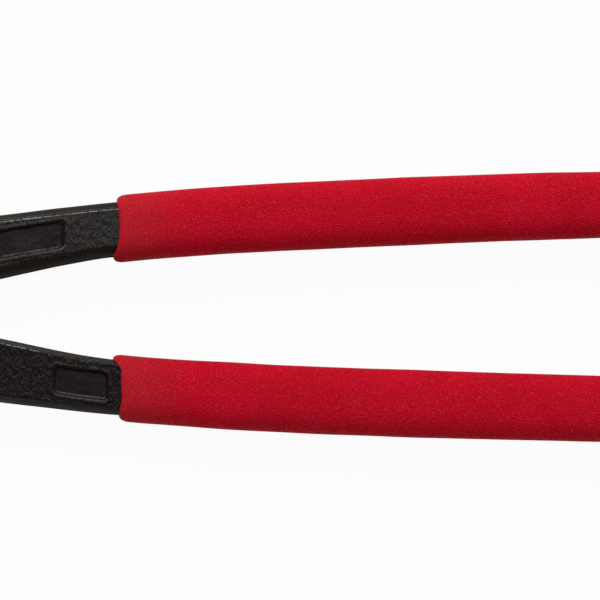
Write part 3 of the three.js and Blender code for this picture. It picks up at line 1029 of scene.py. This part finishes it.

# %% [markdown]
# ## Black lacquer on forged steel
#
# The lacquer is thin, so the pitted skin of the forging shows through it on the faces and takes a broken
# gloss. The drafted sides are smoother, but dull and brownish. These are two shaders, mixed by what was
# kept on the mesh. The corners that face the key lamp shine in dashes, a painted highlight on a little wear,
# and one wall of each panel likewise. The cutting bevels are ground through the lacquer to bright steel
# with fine lines across the edge.

# %% Lacquer with ground edges
FACE_BLACK = srgb(21, 15, 13)
SIDE_BROWN = srgb(42, 35, 27)
SIDE_BLACK = srgb(35, 30, 25)
WEAR_HIGHLIGHT_COLOUR = srgb(102, 100, 98)
GROUND_BRIGHT = srgb(196, 194, 190)
GROUND_DARK = srgb(150, 147, 142)
PIT_STRETCH = (1.0, 0.42, 0.42)
PIT_DEPTH = 0.3
PIT_CALM = 0.75
GRIND_STRETCH = (40.0, 40.0, 1.2)
GRIND_DEPTH = 0.012
SIDE_DEPTH = 0.25
WEAR_HIGHLIGHT_SHARE = 0.5
WEAR_HIGHLIGHT_METAL = 0.7
FACE_ROUGHNESS = 0.3
SIDE_ROUGHNESS = 0.7
ROUGHNESS_SPREAD = 0.2
FACE_SPECULAR = 0.23
SIDE_SPECULAR = 0.05


def lacquer():
    """Glossy faces and dull sides, with bare steel where the mesh is marked as ground.

    Glint: a step over corner * beads, broken by slower noise. Highlight: glint + marked walls * beads;
    it is a painted highlight on a little wear, lighter in colour and more metal.
    Pits: stretched noise, calmer on panel floors and gone on ground steel."""
    f = Finish("black_lacquered_forging")
    corner = f.painted("corner")
    ground = f.painted("ground")
    sunk = f.painted("sunk")
    glossy = f.step(f.painted("face") + corner * 2, low=0.1, high=0.6)
    pits = f.noise(size_mm=0.5, detail=3.0, vector=f.stretched(PIT_STRETCH), roughness=0.6)
    dashes = f.noise(size_mm=3.0, detail=2.0)
    beads = f.noise(size_mm=0.6, detail=1.0)
    mottle = f.noise(size_mm=4.0, detail=3.0)
    lines = f.noise(size_mm=0.6, detail=3.0, vector=f.stretched(GRIND_STRETCH))
    beaded = corner * (0.8 + 0.4 * beads)
    glint = f.step(beaded, low=0.86, high=1.0) * f.step(dashes, low=0.3, high=0.42)
    wear_and_highlight = glint + WEAR_HIGHLIGHT_SHARE * f.painted("wear_and_highlight") * f.step(beads, low=0.3, high=0.55)
    # Painted highlight: the black lightens to grey, with some metal, on the marked corners and walls, partly
    # wear.
    coat = f.blend(wear_and_highlight, FACE_BLACK, WEAR_HIGHLIGHT_COLOUR)
    steel = f.blend(lines, GROUND_DARK, GROUND_BRIGHT)
    pitted = f.bump(pits * (1 - PIT_CALM * sunk) * (1 - ground), PIT_DEPTH)
    face_shader = f.principled(
        Base_Color=f.blend(ground, coat, steel),
        Roughness=FACE_ROUGHNESS + ROUGHNESS_SPREAD * (mottle - 0.5),
        Metallic=ground + WEAR_HIGHLIGHT_METAL * wear_and_highlight,
        Normal=f.bump(lines * ground, GRIND_DEPTH, pitted),
        Specular_IOR_Level=FACE_SPECULAR,
    )
    side_shader = f.principled(
        Base_Color=f.blend(f.step(mottle, low=0.4, high=0.65), SIDE_BLACK, SIDE_BROWN),
        Roughness=SIDE_ROUGHNESS + ROUGHNESS_SPREAD * (mottle - 0.5),
        Normal=f.bump(mottle, SIDE_DEPTH),
        Specular_IOR_Level=SIDE_SPECULAR,
    )
    dull = (1 - glossy) * (1 - ground)
    return f.surface(f.node("ShaderNodeMixShader", {}, {0: dull, 1: face_shader, 2: side_shader}))


black_lacquer = lacquer()
print("made", black_lacquer.name)

# %% [markdown]
# ## Rivet steel
#
# The rivet's ends are bare steel, ground after hammering. Fine lines catch the light, and a slow noise
# darkens the hollows, which keep some of the black.

# %% Ground rivet steel
RIVET_BRIGHT = srgb(150, 147, 143)
RIVET_DARK = srgb(62, 58, 54)
RIVET_STRETCH = (1.0, 18.0, 1.0)
RIVET_ROUGHNESS = 0.32
STAIN_ROUGHNESS = 0.22
LINE_ROUGHNESS = 0.1
STAIN_DULLS = 0.35
STAIN_RAISES = 0.5
RIVET_LINE_DEPTH = 0.02


def rivet_steel():
    """Bright steel and dark stains: a step over noise blends the two, and fine lines are bumped."""
    f = Finish("hammered_rivet_steel")
    stain = f.step(f.noise(size_mm=1.6, detail=4.0), low=0.45, high=0.68)
    lines = f.noise(size_mm=0.5, detail=3.0, vector=f.stretched(RIVET_STRETCH))
    steel = f.principled(
        Base_Color=f.blend(stain, RIVET_BRIGHT, RIVET_DARK),
        Roughness=RIVET_ROUGHNESS + STAIN_ROUGHNESS * stain + LINE_ROUGHNESS * lines,
        Metallic=1.0 - STAIN_DULLS * stain,
        Normal=f.bump(lines + stain * STAIN_RAISES, RIVET_LINE_DEPTH),
    )
    return f.surface(steel)


rivet_finish = rivet_steel()
print("made", rivet_finish.name)

# %% [markdown]
# ## Red dip
#
# Cured vinyl of this kind is matte, with a grain as fine as sugar that sparkles a little, and the sparkle is
# painted as light specks in the colour. Near the lip it is paler and dustier, where the coat is thin and
# handled in packing. The colour changes slowly along the grip, and the grain is a bump of two sizes of
# noise with painted shade in its hollows.

# %% Matte red vinyl
DIP_RED = srgb(203, 6, 36)
DIP_DEEP = srgb(195, 4, 31)
DIP_DUSTY = srgb(190, 32, 44)
DIP_SPARKLE_HIGHLIGHT = srgb(220, 80, 92)
DIP_SHADE = srgb(130, 4, 18)
DUSTY_SHARE = 0.75
SHADE_SHARE = 0.3
SPARKLE_HIGHLIGHT_SHARE = 0.45
DIP_ROUGHNESS = 0.62
GRAIN_ROUGHNESS = 0.2
GRAIN_DEPTH = 0.24
DIP_SPECULAR = 0.06


def red_dip():
    """Two reds blended by slow noise, dusted near the lip, painted shade in the grain's hollows, painted
    sparkle.

    The grain's step runs from high to low, so that it is 1 in the hollows."""
    f = Finish("red_dipped_vinyl")
    grain = f.noise(size_mm=0.32, detail=2.0)
    dust = f.noise(size_mm=0.24, detail=1.0)
    cloud = f.noise(size_mm=12.0, detail=2.0)
    near_lip = 1 - f.step(f.painted("from_lip"), low=1.0, high=17.0)
    red = f.blend(f.step(cloud, low=0.35, high=0.65), DIP_DEEP, DIP_RED)
    red = f.blend(near_lip * DUSTY_SHARE, red, DIP_DUSTY)
    red = f.blend(f.step(grain, low=0.52, high=0.3) * SHADE_SHARE, red, DIP_SHADE)
    # Painted sparkle: light specks in the colour.
    sparkle_highlight = f.step(dust, low=0.58, high=0.72)
    vinyl = f.principled(
        Base_Color=f.blend(sparkle_highlight * SPARKLE_HIGHLIGHT_SHARE, red, DIP_SPARKLE_HIGHLIGHT),
        Roughness=DIP_ROUGHNESS + GRAIN_ROUGHNESS * grain,
        Normal=f.bump(grain + 0.5 * dust, GRAIN_DEPTH),
        Specular_IOR_Level=DIP_SPECULAR,
    )
    return f.surface(vinyl)


red_vinyl = red_dip()
print("made", red_vinyl.name)

# %% [markdown]
# ## Putting the pieces on their bodies
#
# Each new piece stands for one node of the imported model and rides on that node's body, so it follows the
# pivot.

# %% Finish, ride and replace
for side in PLACES:
    for piece, node, slot, finish in (
        (levers[side], f"{side}_lever", "lacquered_steel", black_lacquer),
        (grips[side], f"{side}_grip", "red_dip", red_vinyl),
    ):
        piece.data.materials.clear()
        piece.data.materials.append(finish)
        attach(piece, f"{side}_half")
        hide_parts(node)
rivet.data.materials.append(rivet_finish)
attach(rivet, "right_half")
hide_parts("pivot_rivet")

# %% [markdown]
# ## White for the table
#
# The tool lies on plain white. For the camera, and in reflections, most of the table's white is its own, so
# that it stays even right up to the tool. The rest is lit, and carries the tool's shadow.

# %% White finish
FLOOR_COLOUR = srgb(250, 250, 250)
FLOOR_OWN_WHITE = 0.96


def white_table():
    """Lit white mixed with a glow of strength 1, for rays from the camera, reflections and glass only."""
    f = Finish("white_table")
    path = "ShaderNodeLightPath"
    seen = f.node(path, output="Is Camera Ray") + f.node(path, output="Is Glossy Ray")
    seen = seen + f.node(path, output="Is Transmission Ray")
    lit = f.node("ShaderNodeBsdfDiffuse", {}, {"Color": FLOOR_COLOUR})
    own = f.node("ShaderNodeEmission", {}, {"Color": (1, 1, 1, 1), "Strength": 1.0})
    share = f.node("ShaderNodeMath", {"operation": "MINIMUM"}, {0: seen, 1: 1.0}) * FLOOR_OWN_WHITE
    return f.surface(f.node("ShaderNodeMixShader", {}, {0: share, 1: lit, 2: own}))


table_finish = white_table()
print("made", table_finish.name)

# %% [markdown]
# ## The table
#
# The table is a wide disc whose rim sweeps up all round, as a photographer's roll of paper does, so that
# low views end in white too. It is rings of points again, in metres, at the tool's lowest point.

# %% White floor
SWEEP_CENTRE = 1e-6
SWEEP_INNER = 2.2
SWEEP_OUTER = 3.2
SWEEP_HEIGHT = 0.6
SWEEP_STEPS = 16
SWEEP_SIDES = 96
floor_z = cad_low.z


def sweep_rings():
    """A flat disc whose rim curves up all round as a quarter of an ellipse, in metres."""
    rise = np.linspace(0, math.pi / 2, SWEEP_STEPS)
    radius = np.concatenate([[SWEEP_CENTRE], mix(SWEEP_INNER, SWEEP_OUTER, np.sin(rise))])
    height = np.concatenate([[0], SWEEP_HEIGHT * (1 - np.cos(rise))])
    angle = np.linspace(0, 2 * math.pi, SWEEP_SIDES, endpoint=False)
    x, y = radius[:, None] * np.cos(angle), radius[:, None] * np.sin(angle)
    return np.stack([x, y, floor_z + height[:, None] + 0 * x], -1)


rings = sweep_rings()
grid = np.arange(rings[..., 0].size).reshape(rings.shape[:2])
floor_mesh = bpy.data.meshes.new("table")
floor_mesh.from_pydata(rings.reshape(-1, 3), [], ring_quads(grid))
floor_mesh.materials.append(table_finish)
floor_mesh.shade_smooth()
table = show("table", floor_mesh)
print(f"table at z {floor_z / MM:.1f} mm")

# %% [markdown]
# ## Lamps and sky
#
# Three soft lamps light the tool. A small bright key stands low past the right handle and puts the glint on
# the corners. A large softbox above it lights the faces and leaves the lower flanks darker. A weak fill
# from the other side and a dim, even sky keep the dark sides open.

# %% Three lamps and an even sky
SKY_COLOUR = (1.0, 0.97, 0.94, 1.0)
SKY_STRENGTH = 0.11
AIM = np.array([0.095, 0.0, MID_PLANE * MM])
LAMPS = {
    "key": {"from_zenith": 58, "along": -0.09, "distance": 1.0, "size": (0.30, 0.12), "radiance": 25.0},
    "softbox": {"from_zenith": 31, "along": 0.0, "distance": 1.3, "size": (2.2, 0.76), "radiance": 2.85},
    "fill": {"from_zenith": -60, "along": 0.0, "distance": 1.2, "size": (1.8, 0.7), "radiance": 0.4},
}


def area_lamp(name, from_zenith, along, distance, size, radiance):
    """A rectangular soft lamp that faces the tool, with a power of pi * area * radiance.

    `from_zenith` is in degrees towards the right handle, and `along` is along the tool in metres."""
    data = bpy.data.lights.new(name, "AREA")
    data.shape = "RECTANGLE"
    data.size, data.size_y = size
    data.energy = math.pi * size[0] * size[1] * radiance
    angle = math.radians(from_zenith)
    place = AIM + (along, distance * math.sin(angle), distance * math.cos(angle))
    down = AIM - place
    pitch = math.atan2(math.hypot(down[0], down[1]), -down[2])
    lamp = show(name, data)
    lamp.location = place
    lamp.rotation_euler = (pitch, 0, math.atan2(-down[0], down[1]))
    return lamp


lamps = [area_lamp(name, **values) for name, values in LAMPS.items()]
sky = bpy.data.worlds.new("sky")
sky.use_nodes = True
background = sky.node_tree.nodes["Background"]
background.inputs["Color"].default_value = SKY_COLOUR
background.inputs["Strength"].default_value = SKY_STRENGTH
bpy.context.scene.world = sky
bpy.context.scene.view_settings.view_transform = "Standard"
print("lamps:", ", ".join(lamp.name for lamp in lamps))

# %% [markdown]
# ## Camera
#
# The photograph looks almost straight down with a long lens: the field is 120 mm wide at the height of the
# parting plane. The camera leans five degrees towards the left handle and is rolled by about a fifth of a
# degree.

# %% Long lens from above
FIELD = 0.120
LENS = 180.0
SENSOR = 36.0
LEAN = 5.0
ROLL = 0.22
LOOK_AT = np.array([0.095, 0.00152, MID_PLANE * MM])

camera_data = bpy.data.cameras.new("camera")
camera_data.lens = LENS
camera_data.sensor_width = SENSOR
distance = FIELD * LENS / SENSOR
lean = math.radians(LEAN)
camera = show("camera", camera_data)
camera.location = LOOK_AT + distance * np.array([0, -math.sin(lean), math.cos(lean)])
camera.rotation_euler = (lean, 0, math.radians(-ROLL))
bpy.context.scene.camera = camera
print(f"camera {distance / MM:.0f} mm away")
